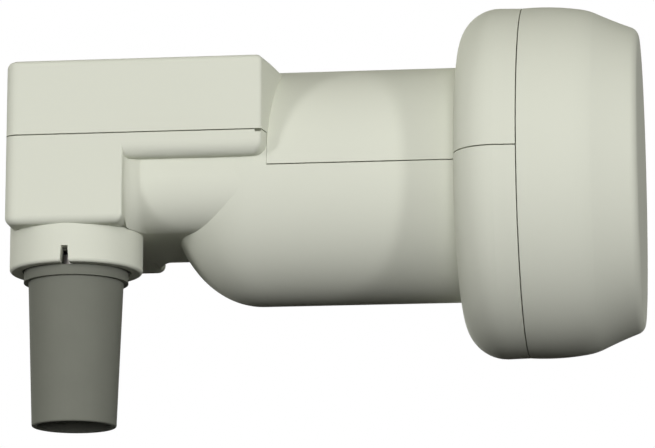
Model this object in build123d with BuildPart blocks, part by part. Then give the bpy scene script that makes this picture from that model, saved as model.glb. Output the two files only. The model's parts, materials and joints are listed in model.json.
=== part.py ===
"""Satellite LNB: a moulded casing round a die-cast feed horn, with a sliding boot over its connector."""
import os

from build123d import *

os.makedirs("parts", exist_ok=True)

# Driving dimensions, in millimetres. X runs along the horn towards the reflector, Z is up, the cable
# connector points down, and the origin is on the horn's axis at the middle of the clamping neck.

# Clamping neck and its domed back end
neck_diameter = 40.0
neck_length = 29.6
dome_depth = 15.8
dome_start = 5.1

# Head: rear cup, then the radome cap
head_diameter = 59.6
cup_depth = 10.6
cup_round = 6.9
cup_edge_drop = 0.1
cap_depth = 19.6
cap_crown = 4.1
cap_shoulder = 9.7
cap_shoulder_drop = 0.5
cap_slope_start = 12.2
cap_slope_start_drop = 1.2
cap_slope_end_drop = 4.3
cap_slope_hollow = 0.12
cap_face_round = 1.8

# Electronics box, connector block and the spine below the box
box_length = 45.5
box_width = 45.9
box_top = 18.3
box_seam = 5.4
lip_bottom = 1.4
box_corner = 2.2
front_bow = 2.3
front_corner = 0.6
inner_corner = 0.8
box_top_round = 1.2
lip_round = 2.3
block_length = 20.05
block_drop = 9.7
block_edge = 0.4
block_foot_round = 1.4
spine_width = 39.7
spine_round = 8.0
spine_flare = 2.5
pry_notch_length = 1.0
pry_notch_height = 0.5
pry_notch_depth = 1.2

# Moulded walls and their parting
casing_wall = 2.0
cap_wall = 1.8
parting_gap = 0.2
step_gap = 0.05
tongue_height = 1.2
tongue_width = 0.8
fit_clearance = 0.1
seat_gap = 0.2

# Connector collar, placed from the block's near side and back, and the guide for the boot
connector_inset = 12.05
connector_back = 10.3
collar_diameter = 22.4
collar_height = 6.35
collar_edge = 0.6
mouth_chamfer = 0.3
slot_width = 1.1
slot_mouth = 1.5
slot_height = 2.7
guide_wall = 1.0
guide_top_gap = 1.4

# Weather boot, a barrel in the guide and a tapered sleeve below it
boot_travel = 16.0
boot_clearance = 0.3
boot_headroom = 1.0
barrel_diameter = 17.6
barrel_wall = 1.3
barrel_show = 1.7
barrel_grip = 4.0
sleeve_top_diameter = 16.0
sleeve_end_diameter = 14.2
sleeve_length = 24.35
sleeve_wall = 0.9
sleeve_end_round = 0.3
lug_width = 2.2
lug_height = 1.4
lug_depth = 0.45
lug_foot = 0.3

# Feed horn and circular waveguide
guide_bore = 17.5
tube_wall = 2.0
short_wall = 1.5
short_inset = 5.0
horn_floor = 2.0
horn_back = 4.7
flare_length = 15.0
flare_mouth = 26.8
horn_depth = 19.5
ring_wall = 1.2
ring_gap = 0.6
ring_pitch = 5.4
ring_steps = (5.5, 2.5)
rib_width = 1.6
rib_gap = 5.0
rib_inset = 6.4

# Board tray in the feed body
tray_wall = 1.4
tray_floor = 1.6
tray_skin = 1.2
cavity_height = 2.5
tray_corner = 0.75
tray_end_gap = 0.3
nose_margin = 3.0
nose_width = 14.0

# Circuit board and the shield over it
board_thickness = 0.8
board_gap = 0.15
cover_thickness = 0.7
cover_wall = 1.0
screw_diameter = 2.0
screw_head_diameter = 3.8
screw_head_height = 0.9
screw_slot = 0.5
screw_slot_depth = 0.4
screw_tip_gap = 0.4
screw_boss_diameter = 4.4
screw_boss_depth = 2.6
screw_inset = 4.3
front_bay = 21.6
divider_inset = 14.15
divider_end_gap = 6.5

# Probes, their sleeves and the pin between them
probe_diameter = 0.8
probe_solder = 0.5
probe_spacing = 10.0
probe_to_short = 6.0
probe_standoff = 1.25
probe_tip = 3.6
probe_bend = 1.2
sleeve_diameter = 3.0
sleeve_proud = 0.3
pin_diameter = 1.5

# Oscillator resonators and their tuning screws, placed from the divider and the tray's side
resonator_setbacks = (5.6, 12.1)
resonator_inset = 9.35
resonator_diameters = (5.4, 4.8)
resonator_height = 1.5
tuning_diameter = 3.0
tuning_depth = 0.5
tuning_proud = 0.6
tuning_slot = 0.5

# Cable connector
thread_diameter = 9.52
thread_length = 17.0
thread_chamfer = 0.6
shoulder_diameter = 11.2
shoulder_thickness = 2.0
gasket_thickness = 0.8
boss_reach = 3.3
spigot_diameter = 7.6
spigot_length = 9.0
connector_bore = 5.8
contact_diameter = 1.7
contact_bore = 1.0
contact_bore_depth = 6.0
contact_tail = 0.9
contact_inset = 1.5
insulator_inset = 1.0

# Radome seal
seal_section = 1.2
spigot_wall = 1.5

# Small parts on the board: length, width and height, and their places from the divider, a side or the axis
regulator_size = (4.5, 2.5, 1.5)
regulator_offset = -4.5
chip_size = (5.0, 4.0, 1.4)
chip_offset = 4.5
transistor_size = (2.0, 2.0, 0.9)
transistor_place = (8.0, -1.0)
output_setback = 13.5
output_gap = 2.9
input_offset = -4.6
chip_chamfer = 0.2
lead_reach = 0.8
lead_thickness = 0.2
regulator_leads = 3
regulator_lead = 0.5
chip_leads = 4
chip_lead = 0.5
transistor_leads = 1
transistor_lead = 0.6
capacitor_size = (1.6, 0.8, 0.8)
capacitor_rows = 2
capacitor_columns = 4
capacitor_pitch = 2.6
capacitor_inset = 9.0
coil_diameter = 3.2
coil_height = 2.0
coil_hole = 1.4
coil_setbacks = (6.0, 11.5)
coil_insets = (10.15, 8.65)
pad_size = (9.0, 8.0, 0.8)
pad_corner = 0.8
pad_place = (11.5, -4.0)

# Places worked out from the sizes
neck_radius = neck_diameter / 2
head_radius = head_diameter / 2
box_front = -neck_length / 2
box_back = box_front - box_length
box_middle = box_front - box_length / 2
block_front = box_back + block_length
block_middle = box_back + block_length / 2
spine_side = spine_width / 2
cup_back = neck_length / 2
seam_x = cup_back + cup_depth
dome_centre = box_front - dome_start
parting_step = box_front - front_bow * (neck_diameter / box_width) ** 2
connector_x = box_back + connector_back
connector_y = connector_inset - box_width / 2
connector_axis = Axis((connector_x, connector_y, 0), (0, 0, 1))
collar_end = -block_drop - collar_height
guide_radius = barrel_diameter / 2 + boot_clearance
barrel_top = collar_end + barrel_grip
barrel_end = collar_end - barrel_show
lug_floor = barrel_top - lug_height
pocket_top = barrel_top + boot_travel + boot_headroom
ledge = lip_bottom + casing_wall
tube_radius = guide_bore / 2 + tube_wall
short_x = dome_centre - dome_depth + casing_wall + short_inset
rear_probe_x = short_x + probe_to_short
front_probe_x = rear_probe_x + probe_spacing
rear_probe_y = tube_radius + probe_standoff
pin_x = (rear_probe_x + front_probe_x) / 2
nose_end = front_probe_x + nose_margin
rib_places = (nose_end + rib_gap, cup_back - rib_inset)
tray_back = box_back + casing_wall + tray_end_gap
tray_front = box_front - front_bow - casing_wall - seat_gap
tray_length = tray_front - tray_back
tray_width = box_width - 2 * casing_wall - 2 * tray_end_gap
tray_floor_top = guide_bore / 2 + tray_skin
board_top = tray_floor_top + board_thickness
tray_rim = board_top + cavity_height
cover_top = tray_rim + cover_thickness
tray_side = tray_width / 2
divider_x = tray_front - front_bay
divider_y = tray_side - divider_inset
divider_end = tray_front - divider_end_gap
screw_y = tray_side - screw_inset
screw_columns = (tray_back + screw_inset, divider_x, tray_front - screw_inset)
screw_places = [(x, y) for x in screw_columns for y in (-screw_y, screw_y)]
resonator_y = tray_side - resonator_inset
resonator_places = [(divider_x + setback, resonator_y) for setback in resonator_setbacks]
bay_back = tray_back + tray_wall + board_gap + cover_wall
bay_middle = (bay_back + divider_x - cover_wall / 2) / 2
boss_end = -block_drop - boss_reach
thread_top = boss_end - gasket_thickness - shoulder_thickness
thread_end = thread_top - thread_length
spigot_radius = head_radius - casing_wall - fit_clearance
spigot_depth = cup_depth - cup_round - fit_clearance
seal_x = seam_x - spigot_depth / 2
outer_ring_radius = spigot_radius - spigot_wall - ring_gap
solder_top = board_top + probe_solder
small_gap = fit_clearance / 2


def on_board(place):
    """Point on the board, from a place given from the divider and the axis."""
    return (divider_x + place[0], place[1])


def neck_profile(radius, dome):
    """Half section of the neck: a quarter ellipse at the back, then a straight cylinder into the head."""
    with BuildSketch(Plane.XY) as profile:
        with BuildLine():
            arc = EllipticalCenterArc((dome_centre, 0), dome, radius, start_angle=90, arc_size=90)
            Polyline(arc @ 0, (seam_x, radius), (seam_x, 0), arc @ 1)
        make_face()
    return profile.sketch


def cup_profile(inset, edge_drop):
    """Half section of the head's rear cup: a flat back, a round corner and a nearly straight side."""
    side = head_radius - inset
    back = cup_back + inset
    corner = cup_round - inset
    with BuildSketch(Plane.XY) as profile:
        with BuildLine():
            Line((back, 0), (back, side - corner))
            RadiusArc((back, side - corner), (back + corner, side), corner)
            Polyline((back + corner, side), (seam_x, side - edge_drop), (seam_x, 0), (back, 0))
        make_face()
    return profile.sketch


def cap_profile(inset):
    """Half section of the radome: a crowned side, a round shoulder, a hollow slope and a flat face."""
    edge = head_radius - inset
    face = seam_x + cap_depth - inset
    shoulder = edge - cap_shoulder_drop
    slope_start = edge - cap_slope_start_drop
    slope_end = edge - cap_slope_end_drop
    slope_x = seam_x + cap_slope_start
    slope_middle = ((slope_x + face) / 2, (slope_start + slope_end) / 2 - cap_slope_hollow)
    with BuildSketch(Plane.XY) as profile:
        with BuildLine():
            start = (seam_x, edge - cup_edge_drop)
            crown = ThreePointArc(start, (seam_x + cap_crown, edge), (seam_x + cap_shoulder, shoulder))
            turn = TangentArc(crown @ 1, (slope_x, slope_start), tangent=crown % 1)
            slope = ThreePointArc(turn @ 1, slope_middle, (face, slope_end))
            Polyline(slope @ 1, (face, 0), (seam_x, 0), start)
        make_face()
        corner = profile.vertices().group_by(Axis.X)[-1].sort_by(Axis.Y)[-1]
        fillet(corner, max(cap_face_round - inset / 2, cap_face_round / 2))
    return profile.sketch


def box_plan(inset, back_round, front_round):
    """Plan of the box: straight sides and back, a bowed front and rounded corners."""
    back = box_back + inset
    front = box_front - inset
    side = box_width / 2 - inset
    with BuildSketch(Plane.XY) as plan:
        with BuildLine():
            bow = ThreePointArc((front - front_bow, -side), (front, 0), (front - front_bow, side))
            Polyline(bow @ 1, (back, side), (back, -side), bow @ 0)
        make_face()
        fillet(plan.vertices().group_by(Axis.X)[-1], front_round)
        fillet(plan.vertices().group_by(Axis.X)[0], back_round)
    return plan.sketch


def tray_outline(inset):
    """Plan of the board tray: the box's rectangle with a nose that reaches over the waveguide."""
    with BuildSketch(Plane.XY) as plan:
        with Locations(((tray_back + tray_front) / 2, 0)):
            Rectangle(tray_length - 2 * inset, tray_width - 2 * inset)
        with Locations(((tray_front + nose_end) / 2 - inset, 0)):
            Rectangle(nose_end - tray_front, nose_width - 2 * inset)
        fillet(plan.vertices(), tray_corner)
    return plan.sketch


def upper_region(gap, step):
    """Everything above the stepped parting: higher over the box, at the axis along the neck and the head."""
    reach = 4 * head_diameter
    with BuildPart() as region:
        with BuildSketch(Plane.XZ):
            with BuildLine():
                Polyline(
                    (-reach, box_seam + gap),
                    (parting_step + step, box_seam + gap),
                    (parting_step + step, gap),
                    (reach, gap),
                    (reach, reach),
                    (-reach, reach),
                    close=True,
                )
            make_face()
        extrude(amount=reach, both=True)
    return region.part


# Connector block and collar, by themselves so that they are rounded before they join the casing
with BuildPart() as block_form:
    with BuildSketch(Plane.XY.offset(-block_drop)) as block_plan:
        with Locations((block_middle, 0)):
            Rectangle(block_length, box_width)
        fillet(block_plan.vertices().group_by(Axis.X)[0], box_corner)
        fillet(block_plan.vertices().group_by(Axis.X)[-1], block_edge)
    extrude(amount=block_drop + box_seam)
    fillet(block_form.faces().sort_by(Axis.Z)[0].edges(), block_foot_round)
    with BuildSketch(Plane.XY.offset(collar_end)):
        with Locations((connector_x, connector_y)):
            Circle(collar_diameter / 2)
    extrude(amount=collar_height + block_foot_round)
    fillet(block_form.faces().sort_by(Axis.Z)[0].edges(), collar_edge)

# Spine between the block and the dome: a rounded trough that flares out where it meets the block
bend_height = spine_round - block_drop
with BuildPart() as spine_form:
    with BuildSketch(Plane.YZ.offset(block_front - casing_wall)) as spine_section:
        with Locations((0, (lip_bottom + casing_wall - block_drop) / 2)):
            Rectangle(spine_width, block_drop + lip_bottom + casing_wall)
        fillet(spine_section.vertices().group_by(Axis.Y)[0], spine_round)
    extrude(amount=dome_centre - block_front + casing_wall)
    for side in (-1, 1):
        inner = side * (spine_side - casing_wall)
        edge = side * spine_side
        outer = side * (spine_side + spine_flare)
        with BuildSketch(Plane.XY.offset(bend_height)) as flare:
            with BuildLine():
                Polyline((block_front, outer), (block_front, inner), (block_front + spine_flare, inner),
                         (block_front + spine_flare, edge))
                RadiusArc((block_front + spine_flare, edge), (block_front, outer), side * spine_flare)
            make_face()
        extrude(amount=ledge - bend_height)
        hinge = Axis((0, side * (spine_side - spine_round), bend_height), (-side, 0, 0))
        revolve(flare.sketch, axis=hinge, revolution_arc=90)
    split(bisect_by=Plane.XY.offset(-block_drop), keep=Keep.TOP)

# Whole casing before it is parted: box, block, spine, domed neck, rear cup and collar as one form
with BuildPart() as casing_form:
    with BuildSketch(Plane.XY.offset(lip_bottom)):
        add(box_plan(0, box_corner, front_corner))
    extrude(amount=box_top - lip_bottom)
    fillet(casing_form.faces().sort_by(Axis.Z)[-1].edges(), box_top_round)
    fillet(casing_form.faces().sort_by(Axis.Z)[0].edges(), lip_round)
    add(block_form.part)
    add(spine_form.part)
    add(neck_profile(neck_radius, dome_depth))
    revolve(axis=Axis.X)
    add(cup_profile(0, cup_edge_drop))
    revolve(axis=Axis.X)

    # Hollow inside, one wall thick all round
    with BuildSketch(Plane.XY.offset(ledge)):
        add(box_plan(casing_wall, inner_corner, inner_corner))
    extrude(amount=box_top - casing_wall - ledge, mode=Mode.SUBTRACT)
    with BuildSketch(Plane.XY.offset(-block_drop + casing_wall)):
        with Locations((block_middle, 0)):
            Rectangle(block_length - 2 * casing_wall, box_width - 2 * casing_wall)
    extrude(amount=block_drop - casing_wall + ledge, mode=Mode.SUBTRACT)
    with BuildSketch(Plane.YZ.offset(block_front - 2 * casing_wall)) as spine_hollow:
        with Locations((0, (ledge + casing_wall - block_drop) / 2)):
            Rectangle(spine_width - 2 * casing_wall, block_drop - casing_wall + ledge)
        fillet(spine_hollow.vertices().group_by(Axis.Y)[0], spine_round - casing_wall)
    extrude(amount=dome_centre - block_front + 2 * casing_wall, mode=Mode.SUBTRACT)
    add(neck_profile(neck_radius - casing_wall, dome_depth - casing_wall))
    revolve(axis=Axis.X, mode=Mode.SUBTRACT)
    add(cup_profile(casing_wall, 0))
    revolve(axis=Axis.X, mode=Mode.SUBTRACT)

    # Ring ribs that cradle the waveguide tube in the neck
    for place in rib_places:
        with BuildSketch(Plane.YZ.offset(place)):
            Circle(neck_radius - casing_wall / 2)
            Circle(tube_radius + fit_clearance, mode=Mode.SUBTRACT)
        extrude(amount=rib_width)

    # Guide for the boot: a tube inside the block, its bore, the lug's groove and the slot in the collar
    with BuildSketch(Plane.XY.offset(-block_drop + casing_wall / 2)):
        with Locations((connector_x, connector_y)):
            Circle(guide_radius + guide_wall)
    extrude(amount=block_drop - casing_wall / 2 + ledge - guide_top_gap)
    with BuildSketch(Plane.XZ.offset(-connector_y)):
        with BuildLine():
            Polyline(
                (connector_x, collar_end),
                (connector_x + guide_radius + mouth_chamfer, collar_end),
                (connector_x + guide_radius, collar_end + mouth_chamfer),
                (connector_x + guide_radius, pocket_top),
                (connector_x, pocket_top),
                close=True,
            )
        make_face()
    revolve(axis=connector_axis, mode=Mode.SUBTRACT)
    groove_depth = guide_radius + lug_depth
    with BuildSketch(Plane.XY.offset(lug_floor - fit_clearance)):
        with Locations((connector_x, connector_y - groove_depth / 2)):
            Rectangle(lug_width + 2 * boot_clearance, groove_depth)
    extrude(amount=pocket_top - lug_floor + fit_clearance, mode=Mode.SUBTRACT)
    with BuildSketch(Plane.XZ.offset(-connector_y)):
        with BuildLine():
            Polyline(
                (connector_x - slot_mouth / 2, collar_end),
                (connector_x + slot_mouth / 2, collar_end),
                (connector_x + slot_width / 2, collar_end + slot_height),
                (connector_x - slot_width / 2, collar_end + slot_height),
                close=True,
            )
        make_face()
    extrude(amount=collar_diameter / 2, mode=Mode.SUBTRACT)

# Upper casing: box lid, upper half of the neck and of the rear cup, with a tongue down inside the lip
tongue_inset = casing_wall - tongue_width
with BuildPart() as upper_casing:
    add(casing_form.part)
    add(upper_region(parting_gap / 2, step_gap / 2), mode=Mode.INTERSECT)
    with BuildSketch(Plane.XY.offset(box_seam - tongue_height)) as tongue:
        with Locations((box_middle, 0)):
            Rectangle(box_length - 2 * tongue_inset, box_width - 2 * tongue_inset)
            Rectangle(box_length - 2 * casing_wall, box_width - 2 * casing_wall, mode=Mode.SUBTRACT)
        with Locations((box_front, 0)):
            Rectangle(2 * dome_depth, box_width, mode=Mode.SUBTRACT)
        with Locations((box_back, 0)):
            Rectangle(2 * block_length, box_width, mode=Mode.SUBTRACT)
    extrude(amount=tongue_height + parting_gap)

# Lower casing: the rest of the form, with a rebate for the tongue and a pry notch at the seam's front corner
with BuildPart() as lower_casing:
    add(casing_form.part)
    add(upper_region(-parting_gap / 2, -step_gap / 2), mode=Mode.SUBTRACT)
    with BuildSketch(Plane.XY.offset(box_seam - tongue_height - fit_clearance)) as rebate:
        with Locations((box_middle, 0)):
            Rectangle(
                box_length - 2 * tongue_inset + 2 * fit_clearance,
                box_width - 2 * tongue_inset + 2 * fit_clearance,
            )
            Rectangle(box_length - 2 * casing_wall, box_width - 2 * casing_wall, mode=Mode.SUBTRACT)
        with Locations((box_front, 0)):
            Rectangle(2 * dome_depth - 2 * fit_clearance, box_width, mode=Mode.SUBTRACT)
        with Locations((box_back, 0)):
            Rectangle(2 * block_length - 2 * fit_clearance, box_width, mode=Mode.SUBTRACT)
    extrude(amount=tongue_height + fit_clearance, mode=Mode.SUBTRACT)
    with BuildSketch(Plane.XY.offset(box_seam)):
        with Locations((box_front - front_bow, -box_width / 2)):
            Rectangle(pry_notch_length, 2 * pry_notch_depth, align=(Align.MAX, Align.CENTER))
    extrude(amount=-pry_notch_height, mode=Mode.SUBTRACT)

# Radome cap with a spigot that plugs into the rear cup and a groove for its seal
with BuildPart() as radome_cap:
    add(cap_profile(0))
    revolve(axis=Axis.X)
    add(cap_profile(cap_wall))
    revolve(axis=Axis.X, mode=Mode.SUBTRACT)
    with BuildSketch(Plane.YZ.offset(seam_x)):
        Circle(head_radius - cap_wall / 2)
        Circle(spigot_radius - spigot_wall, mode=Mode.SUBTRACT)
    extrude(amount=cap_wall)
    with BuildSketch(Plane.YZ.offset(seam_x - spigot_depth)):
        Circle(spigot_radius)
        Circle(spigot_radius - spigot_wall, mode=Mode.SUBTRACT)
    extrude(amount=spigot_depth)
    with BuildSketch(Plane.YZ.offset(seal_x - seal_section / 2 - fit_clearance)):
        Circle(head_radius)
        Circle(head_radius - casing_wall - seal_section, mode=Mode.SUBTRACT)
    extrude(amount=seal_section + 2 * fit_clearance, mode=Mode.SUBTRACT)
    with BuildSketch(Plane.YZ.offset(seam_x)):
        Circle(2 * head_radius)
        Circle(spigot_radius, mode=Mode.SUBTRACT)
    extrude(amount=parting_gap, mode=Mode.SUBTRACT)

with BuildPart() as radome_seal:
    with BuildSketch(Plane.XY):
        with Locations((seal_x, head_radius - casing_wall - seal_section / 2)):
            Circle(seal_section / 2)
    revolve(axis=Axis.X)

# Weather boot: barrel, tapered sleeve and the lug that rides in the guide's groove
with BuildPart() as weather_boot:
    with BuildSketch(Plane.XZ.offset(-connector_y)):
        with BuildLine():
            Polyline(
                (connector_x + barrel_diameter / 2 - barrel_wall, barrel_top),
                (connector_x + barrel_diameter / 2, barrel_top),
                (connector_x + barrel_diameter / 2, barrel_end),
                (connector_x + sleeve_top_diameter / 2, barrel_end),
                (connector_x + sleeve_end_diameter / 2, barrel_end - sleeve_length),
                (connector_x + sleeve_end_diameter / 2 - sleeve_wall, barrel_end - sleeve_length),
                (connector_x + sleeve_top_diameter / 2 - sleeve_wall, barrel_end + barrel_wall),
                (connector_x + barrel_diameter / 2 - barrel_wall, barrel_end + barrel_wall),
                close=True,
            )
        make_face()
    revolve(axis=connector_axis)
    rim = weather_boot.edges().filter_by(GeomType.CIRCLE).group_by(Axis.Z)[0]
    fillet(rim, sleeve_end_round)
    with BuildSketch(Plane.XY.offset(lug_floor)):
        with Locations((connector_x, connector_y - barrel_diameter / 2)):
            Rectangle(lug_width, 2 * lug_depth)
    extrude(amount=lug_height)
    with BuildSketch(Plane.XY.offset(collar_end)):
        with Locations((connector_x, connector_y - barrel_diameter / 2)):
            Rectangle(slot_mouth, 4 * barrel_wall)
    extrude(amount=lug_floor - lug_foot - collar_end, mode=Mode.SUBTRACT)

# Feed body: die-cast tray, waveguide tube, scalar horn and connector boss
with BuildPart() as feed_body:
    with BuildSketch(Plane.XY.offset(ledge)):
        add(tray_outline(0))
    extrude(amount=tray_rim - ledge)
    with BuildSketch(Plane.XY.offset(ledge)):
        add(tray_outline(tray_wall))
    extrude(amount=tray_floor_top - tray_floor - ledge, mode=Mode.SUBTRACT)
    with BuildSketch(Plane.XY.offset(ledge)):
        with Locations((connector_x, connector_y)):
            Circle(guide_radius + 2 * boot_clearance)
    extrude(amount=pocket_top - ledge, mode=Mode.SUBTRACT)
    horn_x = cup_back + horn_back
    horn_front = horn_x + horn_floor + horn_depth
    with BuildSketch(Plane.XY):
        with BuildLine():
            Polyline(
                (short_x - short_wall, 0),
                (short_x - short_wall, tube_radius),
                (horn_x, tube_radius),
                (horn_x, outer_ring_radius),
                (horn_x + horn_floor, outer_ring_radius),
                (horn_x + horn_floor, flare_mouth / 2 + ring_wall),
                (horn_front, flare_mouth / 2 + ring_wall),
                (horn_front, 0),
                close=True,
            )
        make_face()
    revolve(axis=Axis.X)
    for number, step in enumerate(ring_steps):
        ring_radius = outer_ring_radius - number * ring_pitch
        with BuildSketch(Plane.YZ.offset(horn_x)):
            Circle(ring_radius)
            Circle(ring_radius - ring_wall, mode=Mode.SUBTRACT)
        extrude(amount=horn_floor + horn_depth - step)
    with BuildSketch(Plane.XY.offset(tray_floor_top)):
        add(tray_outline(tray_wall))
    extrude(amount=tray_rim - tray_floor_top, mode=Mode.SUBTRACT)
    with BuildSketch(Plane.XY.offset(boss_end)):
        with Locations((connector_x, connector_y)):
            Circle(shoulder_diameter / 2)
    extrude(amount=tray_floor_top - boss_end)
    with BuildSketch(Plane.XY.offset(tray_floor_top - tray_floor - screw_boss_depth)):
        with Locations(screw_places):
            Circle(screw_boss_diameter / 2)
    extrude(amount=screw_boss_depth)
    with BuildSketch(Plane.XY):
        with BuildLine():
            Polyline(
                (short_x, 0),
                (short_x, guide_bore / 2),
                (horn_front - flare_length, guide_bore / 2),
                (horn_front, flare_mouth / 2),
                (horn_front, 0),
                close=True,
            )
        make_face()
    revolve(axis=Axis.X, mode=Mode.SUBTRACT)
    with BuildSketch(Plane.XY.offset(tray_floor_top)):
        with Locations((connector_x, connector_y)):
            Circle(spigot_diameter / 2 + fit_clearance)
        with Locations(screw_places):
            Circle(screw_diameter / 2 + fit_clearance)
        with Locations((rear_probe_x, rear_probe_y)):
            Circle(sleeve_diameter / 2)
    extrude(amount=boss_end - tray_floor_top, mode=Mode.SUBTRACT)
    with BuildSketch(Plane.XY):
        with Locations((front_probe_x, 0)):
            Circle(sleeve_diameter / 2 + fit_clearance / 2)
    extrude(amount=tray_floor_top, mode=Mode.SUBTRACT)
    with BuildSketch(Plane.XY):
        with Locations((pin_x, 0)):
            Circle(pin_diameter / 2 + fit_clearance / 2)
    extrude(amount=2 * tube_radius, both=True, mode=Mode.SUBTRACT)
    with BuildSketch(Plane.XZ):
        with Locations((rear_probe_x, 0)):
            Circle(sleeve_diameter / 2 + fit_clearance / 2)
    extrude(amount=-tube_radius, mode=Mode.SUBTRACT)

# Circuit board on the tray's floor, drilled for the screws, the probes and the connector's contact
with BuildPart() as circuit_board:
    with BuildSketch(Plane.XY.offset(tray_floor_top)):
        add(tray_outline(tray_wall + board_gap))
        with Locations(screw_places):
            Circle(screw_diameter / 2 + fit_clearance, mode=Mode.SUBTRACT)
        with Locations((front_probe_x, 0), (rear_probe_x, rear_probe_y)):
            Circle(probe_diameter / 2 + small_gap, mode=Mode.SUBTRACT)
        with Locations((connector_x, connector_y)):
            Circle(contact_tail / 2 + small_gap, mode=Mode.SUBTRACT)
    extrude(amount=board_thickness)

# Shield cover: a plate on the tray's rim, with walls and screw columns that stand on the board
with BuildPart() as shield_cover:
    with BuildSketch(Plane.XY.offset(tray_rim)):
        add(tray_outline(0))
    extrude(amount=cover_thickness)
    with BuildSketch(Plane.XY.offset(board_top)):
        add(tray_outline(tray_wall + board_gap))
        add(tray_outline(tray_wall + board_gap + cover_wall), mode=Mode.SUBTRACT)
        with Locations((divider_x, 0)):
            Rectangle(cover_wall, tray_width - 2 * tray_wall - cover_wall)
        with Locations(((divider_x + divider_end) / 2, divider_y)):
            Rectangle(divider_end - divider_x, cover_wall)
        with Locations(screw_places):
            Circle(screw_boss_diameter / 2)
    extrude(amount=tray_rim - board_top)
    with BuildSketch(Plane.XY.offset(board_top)):
        with Locations(screw_places):
            Circle(screw_diameter / 2 + fit_clearance)
        with Locations(resonator_places):
            Circle(tuning_diameter / 2 + small_gap)
    extrude(amount=cover_top - board_top, mode=Mode.SUBTRACT)

# Screws that clamp cover and board to the tray
screw_tip = tray_floor_top - tray_floor - screw_boss_depth + screw_tip_gap
with BuildPart() as cover_screws:
    with BuildSketch(Plane.XY.offset(screw_tip)):
        with Locations(screw_places):
            Circle(screw_diameter / 2)
    extrude(amount=cover_top - screw_tip)
    with BuildSketch(Plane.XY.offset(cover_top)):
        with Locations(screw_places):
            Circle(screw_head_diameter / 2)
    extrude(amount=screw_head_height)
    with BuildSketch(Plane.XY.offset(cover_top + screw_head_height)):
        with Locations(screw_places):
            Rectangle(screw_head_diameter, screw_slot)
    extrude(amount=-screw_slot_depth, mode=Mode.SUBTRACT)

# Probes into the waveguide: one straight down, one bent in through the side wall
with BuildPart() as vertical_probe:
    with BuildSketch(Plane.XY.offset(probe_tip)):
        with Locations((front_probe_x, 0)):
            Circle(probe_diameter / 2)
    extrude(amount=solder_top - probe_tip)

with BuildPart() as vertical_probe_sleeve:
    with BuildSketch(Plane.XY.offset(guide_bore / 2 - sleeve_proud)):
        with Locations((front_probe_x, 0)):
            Circle(sleeve_diameter / 2)
            Circle(probe_diameter / 2 + small_gap, mode=Mode.SUBTRACT)
    extrude(amount=tray_floor_top - guide_bore / 2 + sleeve_proud)

with BuildPart() as horizontal_probe:
    with BuildLine(Plane.YZ.offset(rear_probe_x)) as route:
        FilletPolyline(
            (rear_probe_y, solder_top),
            (rear_probe_y, 0),
            (probe_tip, 0),
            radius=probe_bend,
        )
    with BuildSketch(Plane(origin=route.line @ 0, z_dir=route.line % 0)):
        Circle(probe_diameter / 2)
    sweep()

with BuildPart() as horizontal_probe_sleeve:
    with BuildSketch(Plane.XZ.offset(-guide_bore / 2 + sleeve_proud)):
        with Locations((rear_probe_x, 0)):
            Circle(sleeve_diameter / 2)
            Circle(probe_diameter / 2 + small_gap, mode=Mode.SUBTRACT)
    extrude(amount=-tube_wall - sleeve_proud)

with BuildPart() as isolation_pin:
    with BuildSketch(Plane.XY.offset(-tube_radius)):
        with Locations((pin_x, 0)):
            Circle(pin_diameter / 2)
    extrude(amount=tube_radius + tray_floor_top)


def resonator(number):
    """Ceramic puck that stands on the board."""
    with BuildPart() as puck:
        with BuildSketch(Plane.XY.offset(board_top)):
            with Locations(resonator_places[number]):
                Circle(resonator_diameters[number] / 2)
        extrude(amount=resonator_height)
    return puck


def tuning_screw(number):
    """Slotted grub screw in the cover, above its resonator."""
    with BuildPart() as screw:
        with BuildSketch(Plane.XY.offset(tray_rim - tuning_depth)):
            with Locations(resonator_places[number]):
                Circle(tuning_diameter / 2)
        extrude(amount=tuning_depth + cover_thickness + tuning_proud)
        with BuildSketch(Plane.XY.offset(cover_top + tuning_proud)):
            with Locations(resonator_places[number]):
                Rectangle(tuning_diameter, tuning_slot)
        extrude(amount=-tuning_slot, mode=Mode.SUBTRACT)
    return screw


low_band_resonator = resonator(0)
high_band_resonator = resonator(1)
low_band_tuning_screw = tuning_screw(0)
high_band_tuning_screw = tuning_screw(1)

# Cable connector: turned shell on the boss, gasket, insulator and centre contact
spigot_top = boss_end + spigot_length
with BuildPart() as connector_gasket:
    with BuildSketch(Plane.XY.offset(boss_end)):
        with Locations((connector_x, connector_y)):
            Circle(shoulder_diameter / 2)
            Circle(spigot_diameter / 2 + small_gap, mode=Mode.SUBTRACT)
    extrude(amount=-gasket_thickness)

with BuildPart() as connector_shell:
    with BuildSketch(Plane.XZ.offset(-connector_y)):
        with BuildLine():
            Polyline(
                (connector_x + connector_bore / 2, spigot_top),
                (connector_x + spigot_diameter / 2, spigot_top),
                (connector_x + spigot_diameter / 2, boss_end - gasket_thickness),
                (connector_x + shoulder_diameter / 2, boss_end - gasket_thickness),
                (connector_x + shoulder_diameter / 2, thread_top),
                (connector_x + thread_diameter / 2, thread_top),
                (connector_x + thread_diameter / 2, thread_end + thread_chamfer),
                (connector_x + thread_diameter / 2 - thread_chamfer, thread_end),
                (connector_x + connector_bore / 2, thread_end),
                close=True,
            )
        make_face()
    revolve(axis=connector_axis)

with BuildPart() as connector_insulator:
    with BuildSketch(Plane.XY.offset(thread_end + insulator_inset)):
        with Locations((connector_x, connector_y)):
            Circle(connector_bore / 2 - small_gap)
            Circle(contact_diameter / 2 + small_gap, mode=Mode.SUBTRACT)
    extrude(amount=spigot_top - thread_end - insulator_inset)

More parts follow.
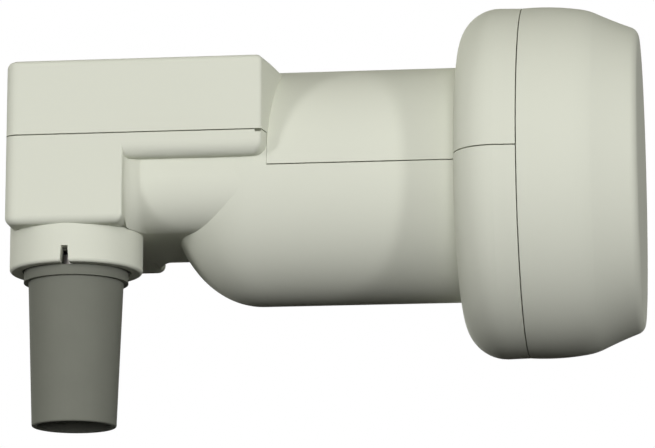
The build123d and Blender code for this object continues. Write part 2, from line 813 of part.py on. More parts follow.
with BuildPart() as connector_contact:
    with BuildSketch(Plane.XY.offset(thread_end + contact_inset)):
        with Locations((connector_x, connector_y)):
            Circle(contact_diameter / 2)
    extrude(amount=spigot_top - thread_end - contact_inset)
    with BuildSketch(Plane.XY.offset(spigot_top)):
        with Locations((connector_x, connector_y)):
            Circle(contact_tail / 2)
    extrude(amount=solder_top - spigot_top)
    with BuildSketch(Plane.XY.offset(thread_end + contact_inset)):
        with Locations((connector_x, connector_y)):
            Circle(contact_bore / 2)
    extrude(amount=contact_bore_depth, mode=Mode.SUBTRACT)


def leaded_chip(size, places, leads, lead_width):
    """Moulded chip bodies with a row of flat leads along each long side, all standing on the board."""
    length, width, height = size
    with BuildPart() as chip:
        with BuildSketch(Plane.XY.offset(board_top)):
            with Locations(places):
                Rectangle(length, width)
        extrude(amount=height)
        chamfer(chip.faces().filter_by(Axis.Z).group_by(Axis.Z)[-1].edges(), chip_chamfer)
        with BuildSketch(Plane.XY.offset(board_top)):
            for place in places:
                with Locations(place):
                    with GridLocations(length / leads, 0, leads, 1):
                        Rectangle(lead_width, width + 2 * lead_reach)
        extrude(amount=lead_thickness)
    return chip


transistor_places = [
    (front_probe_x + input_offset, 0),
    on_board(transistor_place),
    (divider_x + output_setback, divider_y - output_gap),
]
regulator_places = [(bay_middle, regulator_offset)]
voltage_regulator = leaded_chip(regulator_size, regulator_places, regulator_leads, regulator_lead)
switching_chip = leaded_chip(chip_size, [(bay_middle, chip_offset)], chip_leads, chip_lead)
amplifier_transistors = leaded_chip(transistor_size, transistor_places, transistor_leads, transistor_lead)

with BuildPart() as chip_capacitors:
    with BuildSketch(Plane.XY.offset(board_top)):
        with Locations((bay_middle, tray_side - capacitor_inset)):
            with GridLocations(capacitor_pitch, capacitor_pitch, capacitor_columns, capacitor_rows):
                Rectangle(capacitor_size[0], capacitor_size[1])
    extrude(amount=capacitor_size[2])

coil_places = [(divider_x + setback, inset - tray_side) for setback, inset in zip(coil_setbacks, coil_insets)]
with BuildPart() as choke_coils:
    with BuildSketch(Plane.XY.offset(board_top)):
        with Locations(coil_places):
            Circle(coil_diameter / 2)
            Circle(coil_hole / 2, mode=Mode.SUBTRACT)
    extrude(amount=coil_height)

with BuildPart() as absorber_pad:
    with BuildSketch(Plane.XY.offset(tray_rim)):
        with Locations(on_board(pad_place)):
            RectangleRounded(pad_size[0], pad_size[1], pad_corner)
    extrude(amount=-pad_size[2])

pieces = {
    "upper_casing": upper_casing,
    "lower_casing": lower_casing,
    "radome_cap": radome_cap,
    "radome_seal": radome_seal,
    "weather_boot": weather_boot,
    "feed_body": feed_body,
    "circuit_board": circuit_board,
    "shield_cover": shield_cover,
    "cover_screws": cover_screws,
    "vertical_probe": vertical_probe,
    "vertical_probe_sleeve": vertical_probe_sleeve,
    "horizontal_probe": horizontal_probe,
    "horizontal_probe_sleeve": horizontal_probe_sleeve,
    "isolation_pin": isolation_pin,
    "low_band_resonator": low_band_resonator,
    "high_band_resonator": high_band_resonator,
    "low_band_tuning_screw": low_band_tuning_screw,
    "high_band_tuning_screw": high_band_tuning_screw,
    "connector_gasket": connector_gasket,
    "connector_shell": connector_shell,
    "connector_insulator": connector_insulator,
    "connector_contact": connector_contact,
    "voltage_regulator": voltage_regulator,
    "switching_chip": switching_chip,
    "amplifier_transistors": amplifier_transistors,
    "chip_capacitors": chip_capacitors,
    "choke_coils": choke_coils,
    "absorber_pad": absorber_pad,
}
for name, piece in pieces.items():
    piece.part.label = name
    export_step(piece.part, f"parts/{name}.step")
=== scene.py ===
"""Looks for a satellite LNB: finishes for its solids, a threaded connector shell and a plain studio.

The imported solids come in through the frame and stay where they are. The sizes and colours that a user
would change are properties on the scene, each group of pieces has an operator, and a panel in the
sidebar lists them.
"""
import json
import math

import bpy
import numpy as np
from bpy.props import FloatProperty, FloatVectorProperty, IntProperty, PointerProperty
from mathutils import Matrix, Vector


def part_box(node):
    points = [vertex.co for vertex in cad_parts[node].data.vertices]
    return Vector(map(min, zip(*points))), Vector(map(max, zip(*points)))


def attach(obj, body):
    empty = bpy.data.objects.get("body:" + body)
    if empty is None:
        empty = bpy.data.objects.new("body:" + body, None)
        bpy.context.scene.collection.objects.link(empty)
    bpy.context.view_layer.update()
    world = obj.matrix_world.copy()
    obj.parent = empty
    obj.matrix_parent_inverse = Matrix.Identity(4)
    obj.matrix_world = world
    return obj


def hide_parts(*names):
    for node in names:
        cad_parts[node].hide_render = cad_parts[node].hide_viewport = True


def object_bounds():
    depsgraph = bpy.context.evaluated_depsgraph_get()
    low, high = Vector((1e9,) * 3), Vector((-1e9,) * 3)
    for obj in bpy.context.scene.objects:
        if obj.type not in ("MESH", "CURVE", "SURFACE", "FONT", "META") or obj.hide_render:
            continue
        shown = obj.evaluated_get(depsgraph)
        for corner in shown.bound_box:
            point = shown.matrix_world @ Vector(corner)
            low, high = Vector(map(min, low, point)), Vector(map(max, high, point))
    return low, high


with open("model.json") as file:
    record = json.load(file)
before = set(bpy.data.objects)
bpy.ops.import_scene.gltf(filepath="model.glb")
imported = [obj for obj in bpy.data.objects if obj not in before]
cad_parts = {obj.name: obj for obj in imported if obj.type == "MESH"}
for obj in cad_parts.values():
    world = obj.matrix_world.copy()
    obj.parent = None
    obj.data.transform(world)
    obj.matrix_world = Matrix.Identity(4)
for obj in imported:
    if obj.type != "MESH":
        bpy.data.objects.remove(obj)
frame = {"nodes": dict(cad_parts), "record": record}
CAD_BOX = [list(corner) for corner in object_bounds()]

bl_info = {
    "name": "Satellite LNB looks",
    "version": (1, 0, 0),
    "blender": (4, 5, 0),
    "location": "View3D > Sidebar > LNB",
    "description": "Finishes, connector thread and studio for a satellite LNB",
    "category": "Object",
}

MM = 0.001
INCH = 25.4 * MM
WHITE = (1, 1, 1)

# Connector shell: its place from the frame, and the sizes of its solid that the record doesn't give
CONNECTOR = next(mount for mount in frame["record"]["mounts"] if mount["name"] == "f_connector")
SHELL_LOW, SHELL_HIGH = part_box("connector_shell")
BORE_RADIUS = 2.9 * MM
SPIGOT_RADIUS = 3.8 * MM
SHOULDER_THICKNESS = 2.0 * MM
THREAD_CHAMFER = 0.6 * MM
SHARP_ANGLE = math.radians(32)

# Radome beside the casing: its tone and grain as shares of the casing's
RADOME_TONE = 0.995
RADOME_GRAIN = 1.15

# Specular level of dull plastic and rubber
DULL_GLOSS = 0.03

# Circuit board: the noise values between which track lies, and its plated holes, the radius in spacings
TRACK_START = 0.47
TRACK_END = 0.53
HOLE_SPACING = 2.1 * MM
HOLE_RADIUS = 0.16

# Height of the chips' leads, and the wave whose bands are the coils' turns, half a millimetre apart
LEAD_HEIGHT = 0.24 * MM
COIL_WAVE = 1.6 * MM

# Lamps: name, azimuth and elevation in degrees, width in metres, share of its colour that a surface gets
LAMPS = (
    ("front_softbox", 7, 2.5, 0.58, 0.505),
    ("left_lamp", -42, 1, 0.20, 0.26),
    ("right_lamp", 52.7, -1, 0.10, 0.26),
    ("back_softbox", 187, 12, 0.50, 0.60),
    ("rear_left_lamp", -140, 12, 0.30, 0.22),
)

# Room: the stretch of ray height over which its light fades in, and how much weaker it is on one side
HORIZON_BLUR = 0.1
SIDE_FADE = 0.5

# Floor: its own white near the object, where it fades to white as shares of its reach, its shade and rim
FLOOR_GLOW = 0.62
FLOOR_FADE_START = 0.1
FLOOR_FADE_END = 0.5
FLOOR_SHADE = (0.8, 0.8, 0.8)
FLOOR_POINTS = 96

# Camera: sensor width in millimetres and nearest visible distance in metres
SENSOR_WIDTH = 36
CLIP_START = 0.01


def colour(name, words, default):
    """A colour property with three channels, in linear values."""
    return FloatVectorProperty(name=name, description=words, subtype="COLOR", size=3, min=0, max=1,
                               default=default)


def length(name, words, default):
    """A length property in metres."""
    return FloatProperty(name=name, description=words, subtype="DISTANCE", unit="LENGTH", min=0,
                         default=default)


def angle(name, words, default):
    """An angle property, with its default in degrees."""
    return FloatProperty(name=name, description=words, subtype="ANGLE", default=math.radians(default))


class LnbFinish(bpy.types.PropertyGroup):
    """Colours of the pieces and the scale of their surface detail."""

    casing: colour("Casing", "Cream plastic of the casing and the radome", (0.735, 0.750, 0.655))
    boot: colour("Boot", "Grey moulded rubber of the weather boot", (0.200, 0.206, 0.175))
    seal: colour("Seals", "Black rubber of the radome seal and the gasket", (0.018, 0.018, 0.019))
    alloy: colour("Cast alloy", "Zinc alloy of the feed body", (0.520, 0.525, 0.540))
    shield: colour("Shield", "Aluminium of the shield cover", (0.640, 0.645, 0.655))
    steel: colour("Steel", "Zinc plated screws and the isolation pin", (0.560, 0.570, 0.580))
    brass: colour("Brass", "Probes, contact and tuning screws", (0.640, 0.430, 0.160))
    plating: colour("Plating", "Nickel on the connector shell", (0.610, 0.590, 0.550))
    copper: colour("Copper", "Enamelled wire of the choke coils", (0.520, 0.190, 0.075))
    mask: colour("Solder mask", "Green lacquer of the circuit board", (0.020, 0.115, 0.045))
    insulator: colour("Insulator", "White fluoropolymer of sleeves and insulator", (0.800, 0.800, 0.770))
    ceramic: colour("Ceramic", "Fired resonators and chip capacitors", (0.560, 0.440, 0.290))
    chip: colour("Chip", "Black moulding of the chips", (0.012, 0.012, 0.013))
    absorber: colour("Absorber", "Loaded rubber pad under the shield", (0.028, 0.028, 0.032))
    grain: length("Mould grain", "Width of the fine spark texture on the plastic", 0.22 * MM)
    grain_depth: length("Grain depth", "Depth of the spark texture", 0.006 * MM)


class LnbThread(bpy.types.PropertyGroup):
    """Sizes of the connector's thread and the fineness of its mesh."""

    pitch: length("Pitch", "Rise of the thread in one turn, 32 to the inch", INCH / 32)
    depth: length("Depth", "Height of the thread from root to crest", 0.43 * MM)
    run_out: length("Run-out", "Stretch over which the thread fades at each end", 0.9 * MM)
    rows_per_turn: IntProperty(name="Rows", description="Mesh rows in one turn", default=10, min=4)
    columns: IntProperty(name="Columns", description="Mesh columns round the shell", default=72, min=16)


class LnbStage(bpy.types.PropertyGroup):
    """Camera, lights and floor."""

    target: FloatVectorProperty(name="Target", description="Point that the camera looks at", subtype="XYZ",
                                unit="LENGTH", size=3, default=(-8.84 * MM, 1.43 * MM, -5.85 * MM))
    distance: length("Distance", "From the target to the camera", 631.9 * MM)
    azimuth: angle("Azimuth", "Camera's turn to the right of the object's front view", 6.75)
    elevation: angle("Elevation", "Camera's height above the target, as an angle", -11.97)
    lens: FloatProperty(name="Lens", description="Focal length on the sensor", subtype="DISTANCE_CAMERA",
                        default=203.1, min=10)
    floor_drop: length("Floor", "Floor's depth below the lowest point of the object", 1.4)
    floor_reach: length("Floor reach", "Radius of the floor", 8.0)
    light_distance: length("Light distance", "From the object to each lamp", 1.1)
    sky: FloatProperty(name="Sky", description="Brightness of the room above the object", default=0.20,
                       min=0)
    room: colour("Room", "Warm tint of the light that the room throws back", (1.0, 0.985, 0.82))
    bounce: colour("Bounce", "Light that the floor throws back up at the object", (0.022, 0.020, 0.012))


class Wire:
    """An output socket for sums, products and comparisons, each of which adds one Math node."""

    def __init__(self, shader, socket):
        self.shader = shader
        self.socket = socket

    def combine(self, operation, first, second):
        """A Math node on two wires or numbers."""
        node = self.shader.add("ShaderNodeMath", {"operation": operation}, {0: first, 1: second})
        return self.shader.out(node)

    def __add__(self, other):
        return self.combine("ADD", self, other)

    __radd__ = __add__

    def __sub__(self, other):
        return self.combine("SUBTRACT", self, other)

    def __rsub__(self, other):
        return self.combine("SUBTRACT", other, self)

    def __mul__(self, other):
        return self.combine("MULTIPLY", self, other)

    __rmul__ = __mul__

    def __gt__(self, other):
        return self.combine("GREATER_THAN", self, other)

    def __lt__(self, other):
        return self.combine("LESS_THAN", self, other)


class Shader:
    """The node tree of one material or world, with one method that adds any node."""

    def __init__(self, owner):
        owner.use_nodes = True
        self.owner = owner
        self.tree = owner.node_tree
        self.tree.nodes.clear()

    def feed(self, socket, value):
        """Links a wire to a socket, or sets the socket's own value, a colour with full alpha."""
        if isinstance(value, Wire):
            self.tree.links.new(value.socket, socket)
        elif socket.type == "RGBA":
            socket.default_value = (*value[:3], 1.0)
        else:
            socket.default_value = value

    def add(self, kind, settings=None, inputs=None):
        """Adds a node of that type, sets its settings first, then gives its sockets values or links."""
        node = self.tree.nodes.new(kind)
        for key, value in (settings or {}).items():
            setattr(node, key, value)
        for key, value in (inputs or {}).items():
            self.feed(node.inputs[key], value)
        return node

    def out(self, node, name=0):
        """One of a node's outputs, as a wire."""
        return Wire(self, node.outputs[name])

    def place(self):
        """Object coordinates, which are the part's own frame in metres."""
        return self.out(self.add("ShaderNodeTexCoord"), "Object")

    def axis(self, name):
        """One of the object coordinates by its letter."""
        node = self.add("ShaderNodeSeparateXYZ", None, {"Vector": self.place()})
        return self.out(node, name)

    def noise(self, width, detail=2.0, rough=0.5, stretch=(1, 1, 1)):
        """Noise whose lumps are about as wide as given in metres, stretched along the axes."""
        point = self.add("ShaderNodeMapping", None, {"Vector": self.place(), "Scale": stretch})
        settings = {"noise_dimensions": "3D"}
        inputs = {"Vector": self.out(point), "Scale": 1 / width, "Detail": detail, "Roughness": rough}
        return self.out(self.add("ShaderNodeTexNoise", settings, inputs), "Fac")

    def fade(self, value, start, end):
        """0 up to start, 1 from end on, and an even rise between them."""
        inputs = {"Value": value, "From Min": start, "From Max": end}
        return self.out(self.add("ShaderNodeMapRange", None, inputs))

    def mix(self, factor, first, second):
        """Colour between two others."""
        node = self.add("ShaderNodeMix", {"data_type": "RGBA"}, {"Factor": factor})
        for socket, value in zip([s for s in node.inputs if s.type == "RGBA"], (first, second)):
            self.feed(socket, value)
        return Wire(self, next(s for s in node.outputs if s.type == "RGBA"))

    def shade(self, mask, rgb, low, high):
        """A colour times low where the mask is 0 and times high where it is 1."""
        return self.mix(mask, tint(rgb, low), tint(rgb, high))

    def bump(self, height, depth):
        """Normal bent by a height of that depth in metres."""
        inputs = {"Height": height, "Distance": depth, "Strength": 1.0}
        return self.out(self.add("ShaderNodeBump", None, inputs))

    def end(self, kind, node):
        """Leads a node to the surface of an output of that type, and gives the finished owner."""
        self.add(kind, None, {"Surface": self.out(node)})
        return self.owner

    def surface(self, **inputs):
        """Principled shader to the output; names are the sockets' with underscores for spaces."""
        values = {key.replace("_", " "): value for key, value in inputs.items()}
        return self.end("ShaderNodeOutputMaterial", self.add("ShaderNodeBsdfPrincipled", None, values))


def material(name):
    """A new material's shader."""
    return Shader(bpy.data.materials.new(name))


def tint(rgb, factor):
    """A colour made lighter or darker."""
    return tuple(min(1.0, channel * factor) for channel in rgb)


def moulded_plastic(name, rgb, grain, depth):
    """Cream injection moulding: a fine spark texture, faint clouds of tone and an uneven sheen."""
    s = material(name)
    clouds = s.noise(26 * MM, detail=3)
    specks = s.noise(0.9 * MM, detail=3, rough=0.6)
    fine = s.noise(grain, rough=0.6)
    tone = s.shade(clouds, rgb, 0.975, 1.02)
    tone = s.mix(specks * 0.5, tone, tint(rgb, 0.985))
    height = fine * 0.7 + specks * 0.3
    return s.surface(Base_Color=tone, Roughness=0.80 + 0.12 * specks, Specular_IOR_Level=DULL_GLOSS,
                     Normal=s.bump(height, depth))


def moulded_rubber(name, rgb, grain, depth):
    """Grey rubber with a dull skin, faint draw marks along the mould and a little bloom."""
    s = material(name)
    draw = s.noise(0.5 * MM, detail=3, stretch=(1, 1, 0.06))
    bloom = s.noise(5 * MM, detail=4, rough=0.62)
    fine = s.noise(grain, rough=0.6)
    tone = s.shade(bloom, rgb, 0.92, 1.06)
    tone = s.mix(draw * 0.35, tone, tint(rgb, 0.90))
    height = fine * 0.55 + draw * 0.45
    return s.surface(Base_Color=tone, Roughness=0.76 + 0.14 * bloom, Specular_IOR_Level=DULL_GLOSS,
                     Normal=s.bump(height, 1.4 * depth))


def black_rubber(name, rgb):
    """Soft black rubber with a little dust."""
    s = material(name)
    dust = s.noise(0.8 * MM, detail=3)
    tone = s.shade(dust, rgb, 0.85, 1.35)
    return s.surface(Base_Color=tone, Roughness=0.55 + 0.15 * dust, Normal=s.bump(dust, 0.01 * MM))


def cast_metal(name, rgb, grain):
    """Die-cast alloy: a pebbled skin with duller patches."""
    s = material(name)
    patches = s.noise(6 * MM, detail=4, rough=0.6)
    skin = s.noise(grain, detail=3, rough=0.55)
    tone = s.shade(patches, rgb, 0.86, 1.05)
    return s.surface(Base_Color=tone, Metallic=1.0, Roughness=0.38 + 0.20 * skin,
                     Normal=s.bump(skin, 0.03 * MM))


def turned_metal(name, rgb, roughness):
    """Bright turned or plated metal with fine tool marks round its axis."""
    s = material(name)
    marks = s.noise(0.12 * MM, stretch=(0.12, 0.12, 1))
    stain = s.noise(2.4 * MM, detail=3)
    tone = s.shade(stain, rgb, 0.90, 1.06)
    return s.surface(Base_Color=tone, Metallic=1.0, Roughness=roughness + 0.14 * marks,
                     Normal=s.bump(marks, 0.004 * MM))


def board_lacquer(name, rgb, brass):
    """Green solder mask with paler raised tracks and scattered plated holes."""
    s = material(name)
    weave = s.noise(0.35 * MM)
    field = s.noise(4.5 * MM, detail=1)
    track = (field > TRACK_START) - (field > TRACK_END)
    spacing = {"Vector": s.place(), "Scale": 1 / HOLE_SPACING}
    dots = s.add("ShaderNodeTexVoronoi", {"feature": "F1"}, spacing)
    hole = s.out(dots, "Distance") < HOLE_RADIUS
    tone = s.shade(track, rgb, 1, 1.9)
    tone = s.mix(hole, tone, brass)
    return s.surface(Base_Color=tone, Metallic=hole * 0.9, Roughness=0.30 + 0.10 * weave,
                     Normal=s.bump(track + weave * 0.2, 0.03 * MM))


def fired_ceramic(name, rgb):
    """Dense fired ceramic with a fine speckle."""
    s = material(name)
    speckle = s.noise(0.25 * MM, detail=3, rough=0.7)
    tone = s.shade(speckle, rgb, 0.82, 1.12)
    return s.surface(Base_Color=tone, Roughness=0.48 + 0.16 * speckle, Normal=s.bump(speckle, 0.006 * MM))


def waxy_insulator(name, rgb):
    """White fluoropolymer, slightly mottled and smooth."""
    s = material(name)
    mottle = s.noise(1.2 * MM)
    tone = s.shade(mottle, rgb, 0.95, 1)
    return s.surface(Base_Color=tone, Roughness=0.36 + 0.08 * mottle, Subsurface_Weight=0.1)


def chip_moulding(name, rgb, steel):
    """Black chip bodies whose flat leads, low on the board, are tinned metal."""
    s = material(name)
    board_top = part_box("switching_chip")[0].z
    lead = s.axis("Z") < board_top + LEAD_HEIGHT
    dust = s.noise(0.3 * MM)
    tone = s.mix(lead, s.shade(dust, rgb, 1, 2.2), steel)
    return s.surface(Base_Color=tone, Metallic=lead, Roughness=0.42 + 0.18 * dust)


def wound_copper(name, rgb):
    """Enamelled wire, wound in rings one above another, with painted shade darkening the grooves between
    the turns.
    """
    s = material(name)
    bands = {"wave_type": "BANDS", "bands_direction": "Z"}
    turns = s.add("ShaderNodeTexWave", bands, {"Vector": s.place(), "Scale": 1 / COIL_WAVE})
    wire = s.out(turns, "Fac")
    # Painted shade: the colour drops to 0.55 where the wave is low, in the grooves between the turns
    tone = s.shade(wire, rgb, 0.55, 1)
    return s.surface(Base_Color=tone, Metallic=0.85, Roughness=0.30 + 0.10 * wire,
                     Normal=s.bump(wire, 0.12 * MM))


def dress(finish, *nodes):
    """Gives CAD nodes one finish."""
    for name in nodes:
        for slot in frame["nodes"][name].material_slots:
            slot.material = finish


def lathe_grid(radius, height, turn, centre):
    """Points at each radius from the vertical line through a centre, at each height and angle of turn.

    x is the centre's plus radius times cos(turn), y is the centre's plus radius times sin(turn).
    """
    x = centre.x + radius * np.cos(turn)
    y = centre.y + radius * np.sin(turn)
    return np.stack([x, y, np.broadcast_to(height, radius.shape)], axis=-1)


def ring_faces(rows, columns):
    """Quads of a grid that closes on itself both along the profile and round the axis."""
    row, column = np.meshgrid(np.arange(rows), np.arange(columns), indexing="ij")
    next_row = (row + 1) % rows
    next_column = (column + 1) % columns
    corners = [row * columns + column, row * columns + next_column,
               next_row * columns + next_column, next_row * columns + column]
    return np.stack(corners, axis=-1).reshape(-1, 4)


def put_in_scene(name, data):
    """A new object at the origin with that data."""
    thing = bpy.data.objects.new(name, data)
    bpy.context.scene.collection.objects.link(thing)
    return thing


def new_piece(name, points, faces, finish):
    """A mesh object, smooth but for its sharp edges."""
    mesh = bpy.data.meshes.new(name)
    mesh.from_pydata(points.reshape(-1, 3).tolist(), [], faces.tolist())
    mesh.polygons.foreach_set("use_smooth", np.ones(len(mesh.polygons), bool))
    mesh.set_sharp_from_angle(angle=SHARP_ANGLE)
    mesh.materials.append(finish)
    mesh.validate()
    return put_in_scene(name, mesh)


def threaded_shell(sizes):
    """Grid of the connector shell: a closed half section carried round the connector's axis.

    Along the threaded stretch the radius is R - d * f(z) * w(z / p + a / 2 pi), where w is a triangle wave
    that is 0 at the crest and 1 at the root, p the pitch, d the depth, a the angle, and f fades the thread
    in and out over its run-out. Elsewhere the radius is the half section's own.
    """
    crest = CONNECTOR["dims"]["r_mm"] * MM
    half = CONNECTOR["dims"]["length_mm"] * MM / 2
    thread_top = CONNECTOR["pos_m"][2] + half
    thread_low = CONNECTOR["pos_m"][2] - half
    shoulder = (SHELL_HIGH.x - SHELL_LOW.x) / 2
    centre = Vector((*CONNECTOR["pos_m"][:2], 0))
    shoulder_top = thread_top + SHOULDER_THICKNESS
    count = int(2 * half / sizes.pitch * sizes.rows_per_turn)
    thread_z = np.linspace(thread_top, thread_low, count)
    before = [(BORE_RADIUS, SHELL_HIGH.z), (SPIGOT_RADIUS, SHELL_HIGH.z), (SPIGOT_RADIUS, shoulder_top),
              (shoulder, shoulder_top), (shoulder, thread_top)]
    after = [(crest - THREAD_CHAMFER, SHELL_LOW.z), (BORE_RADIUS, SHELL_LOW.z)]
    radius = np.concatenate([[r for r, z in before], np.full(count, crest), [r for r, z in after]])
    height = np.concatenate([[z for r, z in before], thread_z, [z for r, z in after]])
    cut = np.zeros_like(radius)
    fade = np.minimum(thread_top - thread_z, thread_z - thread_low) / sizes.run_out
    cut[len(before):len(before) + count] = np.clip(fade, 0, 1)
    turn = np.linspace(0, 2 * np.pi, sizes.columns, endpoint=False)[None, :]
    phase = height[:, None] / sizes.pitch + turn / (2 * np.pi)
    wave = np.abs(2 * (phase - np.floor(phase)) - 1)
    radius = radius[:, None] - sizes.depth * cut[:, None] * wave
    points = lathe_grid(radius, height[:, None], turn, centre)
    return points, ring_faces(*radius.shape)


class LNB_OT_casing(bpy.types.Operator):
    """Finishes the casing and the radome cap in cream moulded plastic, and their seals in black rubber"""

    bl_idname = "lnb.casing"
    bl_label = "Casing and radome"

    def execute(self, context):
        look = context.scene.lnb_finish
        dress(moulded_plastic("casing_plastic", look.casing, look.grain, look.grain_depth),
              "upper_casing", "lower_casing")
        dress(moulded_plastic("radome_plastic", tint(look.casing, RADOME_TONE), RADOME_GRAIN * look.grain,
                              look.grain_depth), "radome_cap")
        dress(black_rubber("seal_rubber", look.seal), "radome_seal", "connector_gasket")
        return {"FINISHED"}


class LNB_OT_boot(bpy.types.Operator):
    """Finishes the sliding weather boot in grey moulded rubber"""

    bl_idname = "lnb.boot"
    bl_label = "Weather boot"

    def execute(self, context):
        look = context.scene.lnb_finish
        dress(moulded_rubber("boot_rubber", look.boot, look.grain, look.grain_depth), "weather_boot")
        return {"FINISHED"}


class LNB_OT_connector(bpy.types.Operator):
    """Cuts the thread on the connector shell and finishes the connector, the probes and their sleeves"""

    bl_idname = "lnb.connector"
    bl_label = "Cable connector"

    def execute(self, context):
        look = context.scene.lnb_finish
        plating = turned_metal("plated_connector", look.plating, roughness=0.30)
        points, faces = threaded_shell(context.scene.lnb_thread)
        shell = new_piece("threaded_connector_shell", points, faces, plating)
        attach(shell, "housing")
        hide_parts("connector_shell")
        dress(waxy_insulator("white_insulator", look.insulator), "connector_insulator",
              "vertical_probe_sleeve", "horizontal_probe_sleeve")
        dress(turned_metal("probe_brass", look.brass, roughness=0.22), "connector_contact",
              "vertical_probe", "horizontal_probe")
        return {"FINISHED"}


class LNB_OT_feed(bpy.types.Operator):
    """Finishes the die-cast feed body, the shield, its screws and the isolation pin"""

    bl_idname = "lnb.feed"
    bl_label = "Feed body and shield"

    def execute(self, context):
        look = context.scene.lnb_finish
        dress(cast_metal("cast_alloy", look.alloy, grain=0.5 * MM), "feed_body")
        dress(cast_metal("shield_alloy", look.shield, grain=0.3 * MM), "shield_cover")
        dress(turned_metal("screw_steel", look.steel, roughness=0.26), "cover_screws", "isolation_pin")
        dress(turned_metal("tuning_brass", tint(look.brass, 0.9), roughness=0.24),
              "low_band_tuning_screw", "high_band_tuning_screw")
        return {"FINISHED"}


class LNB_OT_board(bpy.types.Operator):
    """Finishes the circuit board, the parts that stand on it and the absorber pad"""

    bl_idname = "lnb.board"
    bl_label = "Circuit board"

    def execute(self, context):
        look = context.scene.lnb_finish
        dress(board_lacquer("board_laminate", look.mask, look.brass), "circuit_board")
        dress(fired_ceramic("resonator_ceramic", look.ceramic), "low_band_resonator", "high_band_resonator")
        dress(fired_ceramic("capacitor_ceramic", tint(look.ceramic, 0.6)), "chip_capacitors")
        dress(chip_moulding("chip_black", look.chip, look.steel), "voltage_regulator", "switching_chip",
              "amplifier_transistors")
        dress(wound_copper("coil_copper", look.copper), "choke_coils")
        dress(black_rubber("absorber_foam", look.absorber), "absorber_pad")
        return {"FINISHED"}


def seen_ray(s):
    """1 for rays from the camera and for mirror-like and see-through rays, 0 for light that spreads."""
    path = s.add("ShaderNodeLightPath")
    seen = s.out(path, "Is Camera Ray") + s.out(path, "Is Glossy Ray")
    return seen + s.out(path, "Is Transmission Ray") > 0.5


def paint_world(world, sky, rgb):
    """White where it is seen, and elsewhere a soft light from above, weaker on the radome's side."""
    s = Shader(world)
    ray = s.out(s.add("ShaderNodeTexCoord"), "Generated")
    parts = s.add("ShaderNodeSeparateXYZ", None, {"Vector": ray})
    seen = seen_ray(s)
    above = s.fade(s.out(parts, "Z"), -HORIZON_BLUR, HORIZON_BLUR)
    room = above * (1 - SIDE_FADE * s.out(parts, "X")) * sky
    strength = seen + (1 - seen) * room
    tone = s.mix(seen, rgb, WHITE)
    background = s.add("ShaderNodeBackground", None, {"Color": tone, "Strength": strength})
    s.end("ShaderNodeOutputWorld", background)


def floor_paint(reach, bounce):
    """Pale floor that fades to white far away, and that throws little light back up."""
    s = material("studio_floor")
    away = s.out(s.add("ShaderNodeVectorMath", {"operation": "LENGTH"}, {0: s.place()}), "Value")
    far = s.fade(away, FLOOR_FADE_START * reach, FLOOR_FADE_END * reach)
    seen = seen_ray(s)
    matt = s.add("ShaderNodeBsdfDiffuse", None, {"Color": s.mix(seen, bounce, FLOOR_SHADE)})
    glow = s.add("ShaderNodeEmission", None, {"Color": WHITE, "Strength": 1.0})
    white_share = seen * (FLOOR_GLOW + (1 - FLOOR_GLOW) * far)
    blend = s.add("ShaderNodeMixShader", None, {0: white_share, 1: s.out(matt), 2: s.out(glow)})
    return s.end("ShaderNodeOutputMaterial", blend)


def studio_floor(stage):
    """Round floor below the object: a circle of points as far out as its reach, at one level."""
    turn = np.linspace(0, 2 * np.pi, FLOOR_POINTS, endpoint=False)
    level = CAD_BOX[0][2] - stage.floor_drop
    rim = lathe_grid(np.full(FLOOR_POINTS, stage.floor_reach), level, turn, Vector())
    mesh = bpy.data.meshes.new("studio_floor")
    mesh.from_pydata(rim.tolist(), [], [list(range(FLOOR_POINTS))])
    mesh.materials.append(floor_paint(stage.floor_reach, stage.bounce))
    return put_in_scene("studio_floor", mesh)


def direction(azimuth, elevation):
    """Unit vector from the object, turned right from the front view and raised, both in radians."""
    level = math.cos(elevation)
    return Vector((level * math.sin(azimuth), -level * math.cos(azimuth), math.sin(elevation)))


def aim(thing, target, away, distance):
    """Puts a lamp or camera that far from a target along a direction, and turns it to face the target."""
    thing.location = target + away * distance
    thing.rotation_euler = away.to_track_quat("Z", "Y").to_euler()


def soft_lamp(name, azimuth, elevation, width, share, distance):
    """Square lamp that gives a facing matt surface that share of its own colour.

    Its power is the square of pi times the distance, times the share.
    """
    lamp = bpy.data.lights.new(name, "AREA")
    lamp.shape = "SQUARE"
    lamp.size = width
    lamp.energy = math.pi ** 2 * distance ** 2 * share
    holder = put_in_scene(name, lamp)
    holder.visible_camera = False
    aim(holder, Vector(), direction(math.radians(azimuth), math.radians(elevation)), distance)


def photo_camera(stage):
    """Camera at the photograph's angle."""
    lens = bpy.data.cameras.new("photo_camera")
    lens.lens = stage.lens
    lens.sensor_width = SENSOR_WIDTH
    lens.sensor_fit = "HORIZONTAL"
    lens.clip_start = CLIP_START
    camera = put_in_scene("photo_camera", lens)
    aim(camera, Vector(stage.target), direction(stage.azimuth, stage.elevation), stage.distance)
    return camera


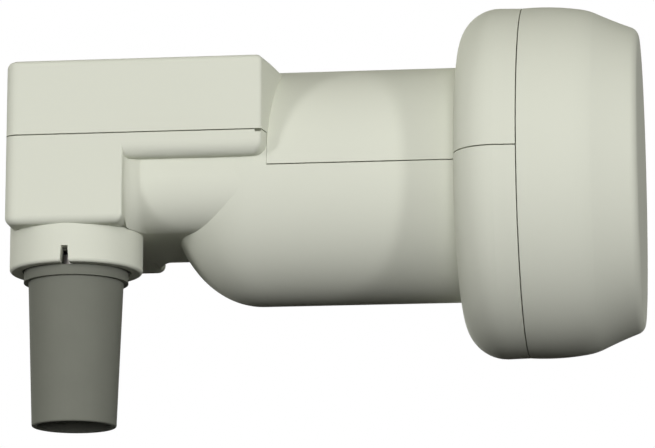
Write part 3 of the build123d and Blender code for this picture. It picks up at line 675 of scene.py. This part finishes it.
class LNB_OT_stage(bpy.types.Operator):
    """Adds the room light, the floor, the lamps and the camera"""

    bl_idname = "lnb.stage"
    bl_label = "Studio"

    def execute(self, context):
        scene = context.scene
        stage = scene.lnb_stage
        scene.view_settings.view_transform = "Standard"
        scene.world = bpy.data.worlds.new("studio_room")
        paint_world(scene.world, stage.sky, stage.room)
        floor = studio_floor(stage)
        for lamp in LAMPS:
            soft_lamp(*lamp, stage.light_distance)
        scene.camera = photo_camera(stage)
        return {"FINISHED"}


OPERATORS = (LNB_OT_casing, LNB_OT_boot, LNB_OT_connector, LNB_OT_feed, LNB_OT_board, LNB_OT_stage)


class LNB_PT_looks(bpy.types.Panel):
    """Sidebar panel with the LNB's sizes, colours and steps"""

    bl_idname = "LNB_PT_looks"
    bl_label = "Satellite LNB"
    bl_space_type = "VIEW_3D"
    bl_region_type = "UI"
    bl_category = "LNB"

    def draw(self, context):
        for group in (context.scene.lnb_finish, context.scene.lnb_thread, context.scene.lnb_stage):
            box = self.layout.box()
            for name in group.__annotations__:
                box.prop(group, name)
        for step in OPERATORS:
            self.layout.operator(step.bl_idname)


CLASSES = (LnbFinish, LnbThread, LnbStage, *OPERATORS, LNB_PT_looks)


def register():
    """Registers the classes and hangs their properties on the scene."""
    for cls in CLASSES:
        bpy.utils.register_class(cls)
    bpy.types.Scene.lnb_finish = PointerProperty(type=LnbFinish)
    bpy.types.Scene.lnb_thread = PointerProperty(type=LnbThread)
    bpy.types.Scene.lnb_stage = PointerProperty(type=LnbStage)


def unregister():
    """Removes the properties and the classes again."""
    del bpy.types.Scene.lnb_stage
    del bpy.types.Scene.lnb_thread
    del bpy.types.Scene.lnb_finish
    for cls in reversed(CLASSES):
        bpy.utils.unregister_class(cls)


def main():
    """Registers the add-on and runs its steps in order."""
    register()
    bpy.ops.lnb.casing()
    bpy.ops.lnb.boot()
    bpy.ops.lnb.connector()
    bpy.ops.lnb.feed()
    bpy.ops.lnb.board()
    bpy.ops.lnb.stage()


if __name__ == "__main__":
    main()
